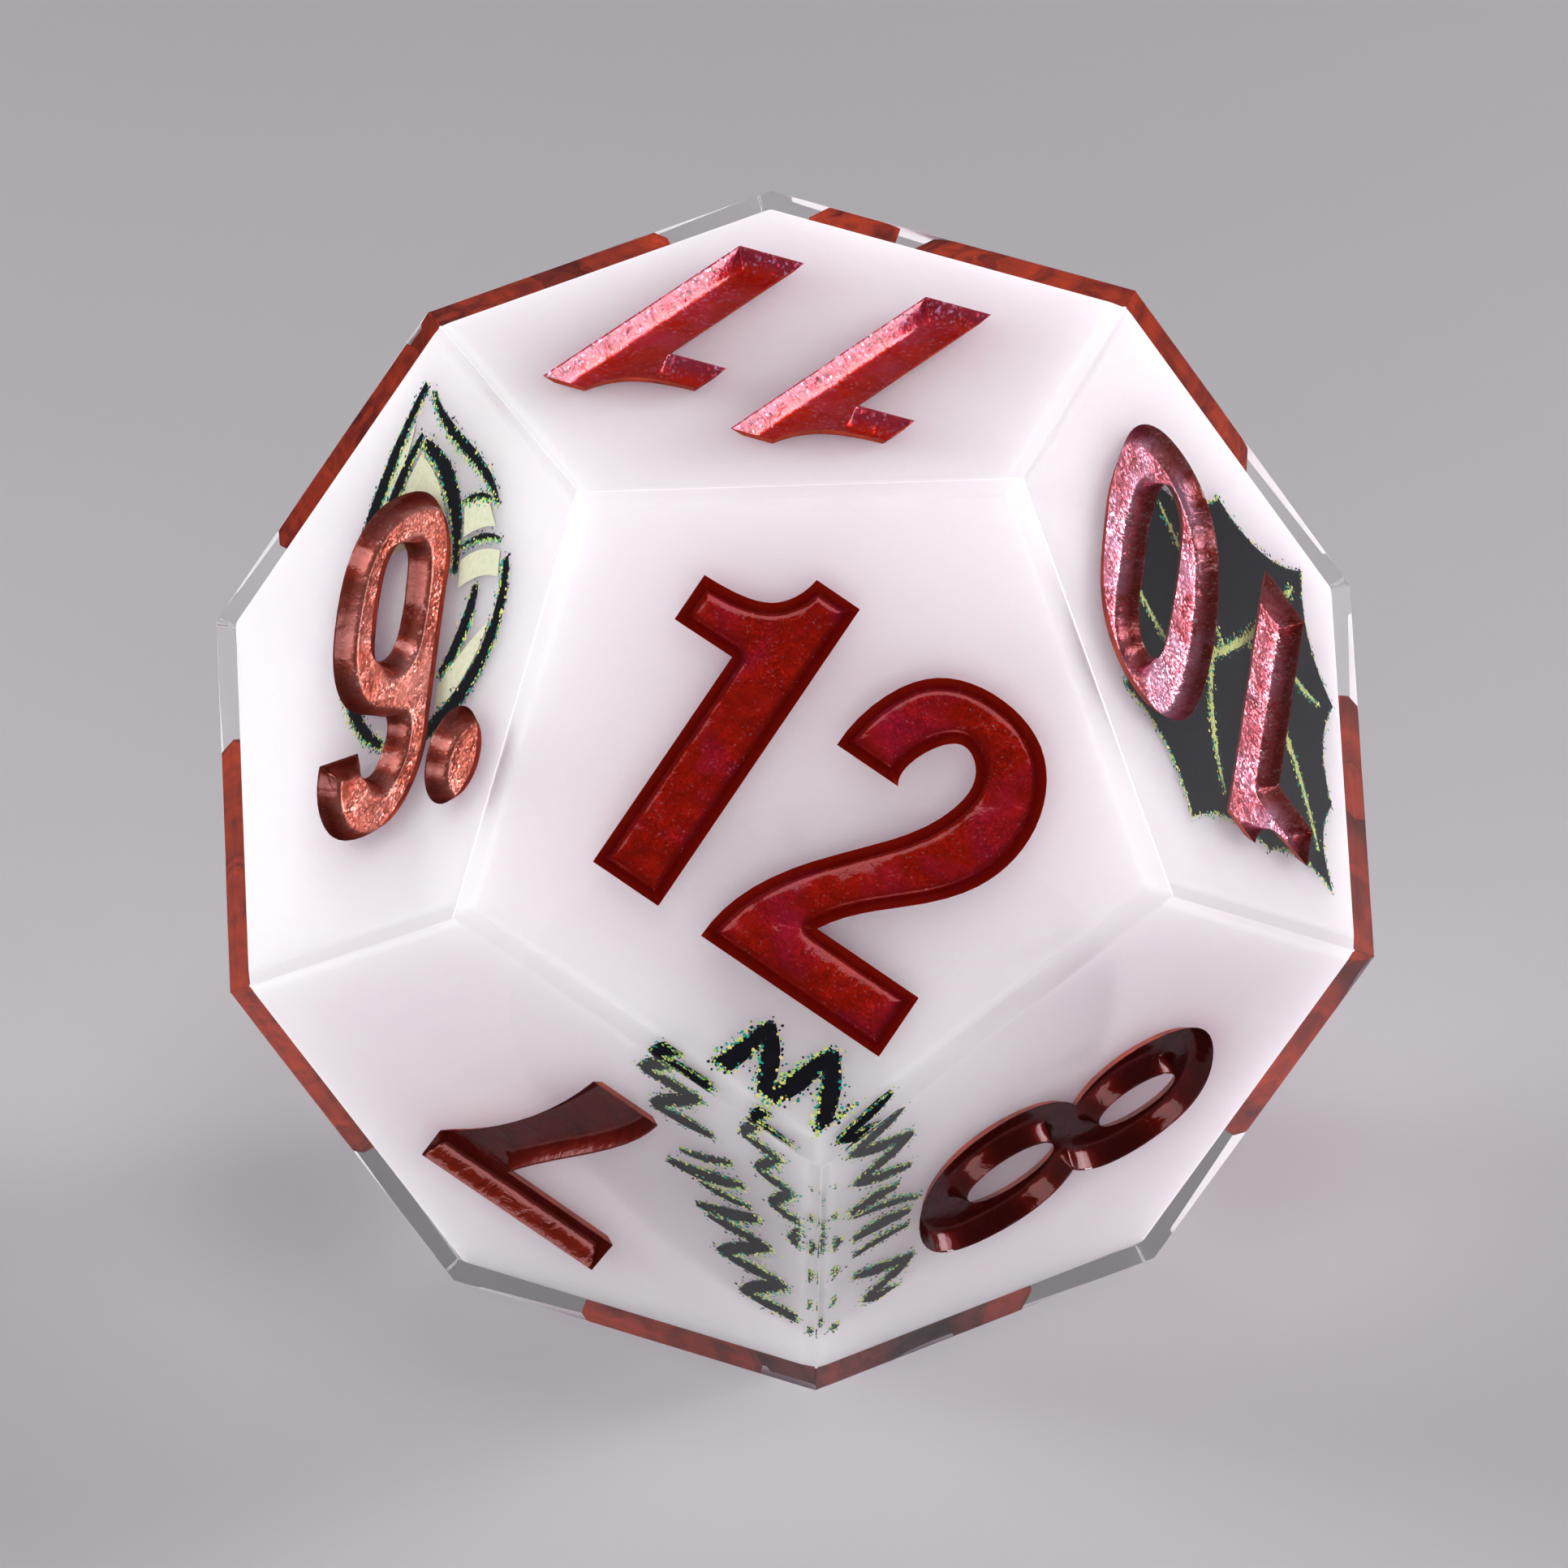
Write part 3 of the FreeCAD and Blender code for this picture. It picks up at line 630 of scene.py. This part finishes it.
# ---------------------------------------------------------------- printing dots round the motifs
DOT_TONES = {
    "teal": ((0.01, 0.28, 0.20), (0.03, 0.46, 0.34)),
    "lime": ((0.40, 0.66, 0.08), (0.58, 0.78, 0.20)),
    "yellow": ((0.80, 0.74, 0.16), (0.88, 0.84, 0.34)),
    "soot": ((0.01, 0.01, 0.02), (0.03, 0.03, 0.05)),
}
BRIGHT_SIDE = 3, (3.0, 2.6, 2.2, 2.2)       # tries at each place, and the weights of the tones
DARK_SIDE = 1, (1.6, 1.0, 1.0, 3.0)
SPREAD, SETBACK = 0.055, 0.03               # how far the dots scatter, and how far in they begin, mm
REACH_MARKS, REACH_LEAF = 0.19, 0.13        # how far out they may lie, mm


def dot_at(middle, level, axes, rng):
    """An uneven six-sided dot just above the print."""
    out, u, v = axes
    radius = rng.uniform(0.014, 0.040) * MM
    c = middle + np.array([rng.gauss(0, 0.02), rng.gauss(0, 0.02)]) * MM
    lift = level + (0.002 + 0.002 * rng.random()) * MM
    turn = rng.random() * 6
    points = []
    for j in range(6):
        a = turn + j * math.pi / 3
        s = radius * rng.uniform(0.75, 1.1)
        points.append(CENTRE + u * (c[0] + s * math.cos(a)) + v * (c[1] + s * math.sin(a)) + out * lift)
    return points


def stray_dots():
    """Fine dots of the process colours that spread past the edges of the black print."""
    rng = random.Random(12)
    made = {tone: [] for tone in DOT_TONES}
    for name in sorted(nodes):
        if not name.startswith("print_") or name in COLOURED_PRINTS:
            continue
        axes = plane_of(nodes[name])
        rings, level = outlines_of(nodes[name])
        reach = REACH_MARKS if "marks" in name else REACH_LEAF
        for ring in rings:
            ring = resample(ring, DOT_STEP)
            if area(ring) < 0:
                ring = ring[::-1]
            for p, q in zip(ring, -inward(ring)):
                tries, weights = BRIGHT_SIDE if q[0] * 0.6 + q[1] * 0.8 > 0 else DARK_SIDE
                for _ in range(tries):
                    d = rng.expovariate(1 / SPREAD) - SETBACK
                    if d <= reach:
                        tone = rng.choices(list(DOT_TONES), weights)[0]
                        made[tone].append(dot_at(p + q * d * MM, level, axes, rng))
    for tone, dots in made.items():
        dark, light = DOT_TONES[tone]
        verts = [p for dot in dots for p in dot]
        faces = [tuple(range(i, i + 6)) for i in range(0, len(verts), 6)]
        obj = new_object("dots_" + tone, verts, faces, [print_ink("dots_" + tone, dark, light, light)])
        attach(obj, "root")


stray_dots()


# ---------------------------------------------------------------- stage, light, camera
def floor():
    mat, nt = tree("stage_floor")
    tone = ramp(nt, noise_at(nt, 0.02, 2), [(0.3, (0.62, 0.615, 0.63)), (0.7, (0.66, 0.655, 0.67))])
    body = add(nt, "ShaderNodeBsdfPrincipled", {"Base Color": tone, "Roughness": 0.8})
    finish_with(nt, body.outputs[0])
    half = 1.5
    corners = [(-half, -half, 0), (half, -half, 0), (half, half, 0), (-half, half, 0)]
    obj = new_object("stage_floor", corners, [(0, 1, 2, 3)], [mat])
    obj.location.z = cad_lo[2] - 0.01 * MM


def lamp(name, azimuth, elevation, distance, size, power, colour, spread=180):
    """Square soft light aimed at the die, in metres, watts and degrees; azimuth 0 is in front of it and
    90 to its right."""
    a, e = math.radians(azimuth), math.radians(elevation)
    back = Vector((math.sin(a) * math.cos(e), -math.cos(a) * math.cos(e), math.sin(e)))
    data = bpy.data.lights.new(name, "AREA")
    data.shape, data.size, data.energy, data.color = "SQUARE", size, power, colour
    data.spread = math.radians(spread)
    obj = bpy.data.objects.new(name, data)
    obj.location = CENTRE + back * distance
    obj.rotation_euler = (-back).to_track_quat("-Z", "Y").to_euler()
    bpy.context.scene.collection.objects.link(obj)


floor()
lamp("key", 110, 15, 0.32, 0.15, 0.056, (1.0, 0.95, 0.985), 40)
lamp("left", -110, 14, 0.32, 0.18, 0.061, (0.985, 1.0, 0.985), 40)
lamp("top", 20, 70, 0.34, 0.24, 0.040, (1.0, 0.94, 0.99), 40)
lamp("front", -6, 4, 0.55, 0.34, 1.98, (1.0, 0.97, 1.0))

world = bpy.data.worlds.new("studio")
world.use_nodes = True
bpy.context.scene.world = world
sky = world.node_tree.nodes["Background"].inputs
sky["Color"].default_value = (0.90, 0.89, 0.93, 1)
sky["Strength"].default_value = 0.17

cam = bpy.data.cameras.new("camera")
cam.lens, cam.sensor_width = 521.3, 36.0
cam.clip_start, cam.clip_end = 0.01, 10
eye = bpy.data.objects.new("camera", cam)
forward, up = Vector((0.03247, 0.89097, -0.45289)), Vector((0.03115, 0.45201, 0.89147))
eye.location = CENTRE + Vector((-14.607, -395.976, 201.369)) * MM
right = forward.cross(up).normalized()
up = right.cross(forward)
eye.rotation_mode = "QUATERNION"
eye.rotation_quaternion = Matrix((right, up, -forward)).transposed().to_quaternion()
bpy.context.scene.collection.objects.link(eye)
bpy.context.scene.camera = eye
bpy.context.scene.view_settings.view_transform = "Standard"
